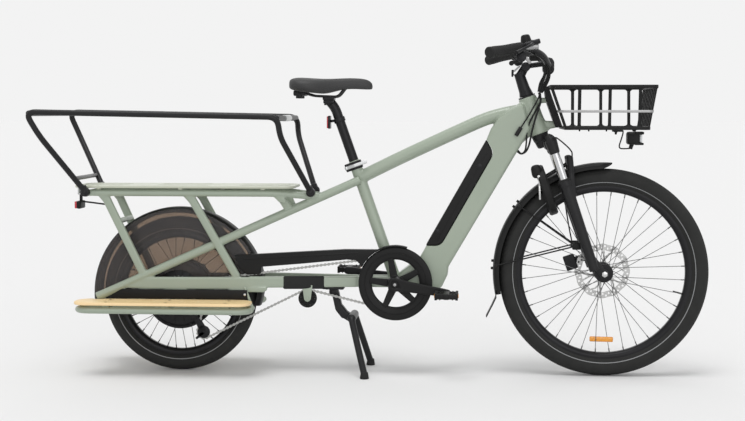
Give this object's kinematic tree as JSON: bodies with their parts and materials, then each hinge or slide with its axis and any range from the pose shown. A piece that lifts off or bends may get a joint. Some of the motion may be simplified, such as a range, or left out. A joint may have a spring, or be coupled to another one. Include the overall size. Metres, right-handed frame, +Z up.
{
  "type": "longtail cargo bicycle",
  "caption": "Longtail cargo bicycle with a rear hub motor, a rack with rails over it, running boards, a front basket and a two-legged stand.",
  "frame": {"origin": "centre of the footprint's bounding box, on the ground", "axes": "+X forward along the direction of travel, +Y to the rider's left, +Z up; the chain is at -Y"},
  "size_m": [2.1696, 0.6788, 1.0837],
  "materials": {
    "frame_paint": "satin grey-green paint",
    "black_metal": "satin black paint",
    "black_plastic": "matte black",
    "smoked_sheet": "smooth dark sheet",
    "tyre_rubber": "matte",
    "grip_rubber": "matte",
    "steel": "brushed",
    "alloy": "black anodised",
    "board_wood": "oiled plywood",
    "seat_cover": "matte black",
    "red_lens": "glossy red"
  },
  "bodies": {
    "frame": {"main_frame": "frame_paint", "right_rear_frame": "frame_paint", "left_rear_frame": "frame_paint", "rack_deck": "frame_paint", "monkey_bars": "black_metal", "right_board_frame": "frame_paint", "left_board_frame": "frame_paint", "right_footboard": "board_wood", "left_footboard": "board_wood", "right_skirt_guard": "smoked_sheet", "left_skirt_guard": "smoked_sheet", "rear_fender": "black_plastic", "chain_case": "black_plastic", "chain": "steel", "basket": "black_metal", "headlight": "black_plastic", "tail_light": "red_lens", "rear_caliper": "alloy", "rear_axle": "steel", "kickstand_bracket": "alloy", "seat_clamp": "alloy", "derailleur_body": "alloy", "derailleur_cage": "alloy", "frame_cables": "grip_rubber"},
    "battery": {"battery": "black_plastic"},
    "seatpost": {"seatpost": "alloy", "saddle": "seat_cover"},
    "seat_lever": {"seat_clamp_lever": "alloy"},
    "crank": {"right_crank": "alloy", "left_crank": "alloy", "chainring": "steel"},
    "right_pedal": {"right_pedal": "black_plastic"},
    "left_pedal": {"left_pedal": "black_plastic"},
    "cassette": {"cassette": "steel"},
    "idler": {"idler_wheel": "black_plastic"},
    "guide_pulley": {"guide_pulley": "black_plastic"},
    "tension_pulley": {"tension_pulley": "black_plastic"},
    "rear_wheel": {"rear_wheel": "alloy", "rear_tyre": "tyre_rubber", "rear_rotor": "steel"},
    "kickstand": {"kickstand": "alloy"},
    "steering": {"fork_crown": "alloy", "stem": "alloy", "handlebar": "alloy", "right_grip": "grip_rubber", "left_grip": "grip_rubber", "right_control": "black_plastic", "left_control": "black_plastic", "handlebar_cables": "grip_rubber"},
    "right_brake_lever": {"right_brake_lever": "alloy"},
    "left_brake_lever": {"left_brake_lever": "alloy"},
    "fork_lowers": {"fork_lowers": "alloy", "front_fender": "black_plastic", "front_caliper": "alloy", "front_axle": "steel", "ring_lock": "black_plastic"},
    "lock_bolt": {"lock_bolt": "steel"},
    "front_wheel": {"front_wheel": "alloy", "front_tyre": "tyre_rubber", "front_rotor": "steel"}
  },
  "joints": [
    {"name": "steering_turn", "type": "hinge", "parent": "frame", "child": "steering", "pos_m": [0.51791, 0, 0.84483], "axis": [-0.3256, 0, 0.9455], "range_deg": [-45, 45]},
    {"name": "fork_travel", "type": "slide", "parent": "steering", "child": "fork_lowers", "axis": [-0.3256, 0, 0.9455], "range_m": [0, 0.045], "stiffness_N_per_m": 8000, "springref_m": -0.04},
    {"name": "front_wheel_spin", "type": "hinge", "parent": "fork_lowers", "child": "front_wheel", "pos_m": [0.74777, 0, 0.337], "axis": [0, 1, 0], "continuous": true},
    {"name": "rear_wheel_spin", "type": "hinge", "parent": "frame", "child": "rear_wheel", "pos_m": [-0.64223, 0, 0.256], "axis": [0, 1, 0], "continuous": true},
    {"name": "crank_spin", "type": "hinge", "parent": "frame", "child": "crank", "pos_m": [0.07577, 0, 0.3], "axis": [0, 1, 0], "continuous": true},
    {"name": "right_pedal_spin", "type": "hinge", "parent": "crank", "child": "right_pedal", "pos_m": [0.24372, -0.137, 0.2737], "axis": [0, 1, 0], "continuous": true},
    {"name": "left_pedal_spin", "type": "hinge", "parent": "crank", "child": "left_pedal", "pos_m": [-0.09219, 0.137, 0.3263], "axis": [0, 1, 0], "continuous": true},
    {"name": "cassette_spin", "type": "hinge", "parent": "frame", "child": "cassette", "pos_m": [-0.64223, 0, 0.256], "axis": [0, 1, 0], "continuous": true},
    {"name": "idler_spin", "type": "hinge", "parent": "frame", "child": "idler", "pos_m": [-0.21223, -0.045, 0.248], "axis": [0, 1, 0], "continuous": true},
    {"name": "guide_pulley_spin", "type": "hinge", "parent": "frame", "child": "guide_pulley", "pos_m": [-0.58723, -0.045, 0.19], "axis": [0, 1, 0], "continuous": true},
    {"name": "tension_pulley_spin", "type": "hinge", "parent": "frame", "child": "tension_pulley", "pos_m": [-0.55623, -0.045, 0.134], "axis": [0, 1, 0], "continuous": true},
    {"name": "stand_fold", "type": "hinge", "parent": "frame", "child": "kickstand", "pos_m": [-0.13023, 0, 0.267], "axis": [0, 1, 0], "range_deg": [0, 80]},
    {"name": "seatpost_slide", "type": "slide", "parent": "frame", "child": "seatpost", "axis": [-0.3326, 0, 0.9431], "range_m": [-0.1, 0.05]},
    {"name": "seat_lever_turn", "type": "hinge", "parent": "frame", "child": "seat_lever", "pos_m": [-0.0872, -0.019, 0.67193], "axis": [0.3326, 0, -0.9431], "range_deg": [0, 150]},
    {"name": "battery_slide", "type": "slide", "parent": "frame", "child": "battery", "axis": [-1, 0, 0], "range_m": [0, 0.07]},
    {"name": "right_brake_pull", "type": "hinge", "parent": "steering", "child": "right_brake_lever", "pos_m": [0.50854, -0.21474, 1.06724], "axis": [0.3256, 0, -0.9455], "range_deg": [0, 13], "stiffness_Nm_per_rad": 0.6, "springref_deg": -17.19},
    {"name": "left_brake_pull", "type": "hinge", "parent": "steering", "child": "left_brake_lever", "pos_m": [0.50854, 0.21474, 1.06724], "axis": [-0.3256, 0, 0.9455], "range_deg": [0, 13], "stiffness_Nm_per_rad": 0.6, "springref_deg": -17.19},
    {"name": "lock_bolt_turn", "type": "hinge", "parent": "fork_lowers", "child": "lock_bolt", "pos_m": [0.56204, 0, 0.60303], "axis": [0.9455, 0, 0.3256], "range_deg": [0, 78]}
  ],
  "couplings": [
    {"joint": "cassette_spin", "follows": "crank_spin", "ratio": 2.4444},
    {"joint": "idler_spin", "follows": "crank_spin", "ratio": -3.1429},
    {"joint": "guide_pulley_spin", "follows": "crank_spin", "ratio": -4},
    {"joint": "tension_pulley_spin", "follows": "crank_spin", "ratio": 4}
  ]
}
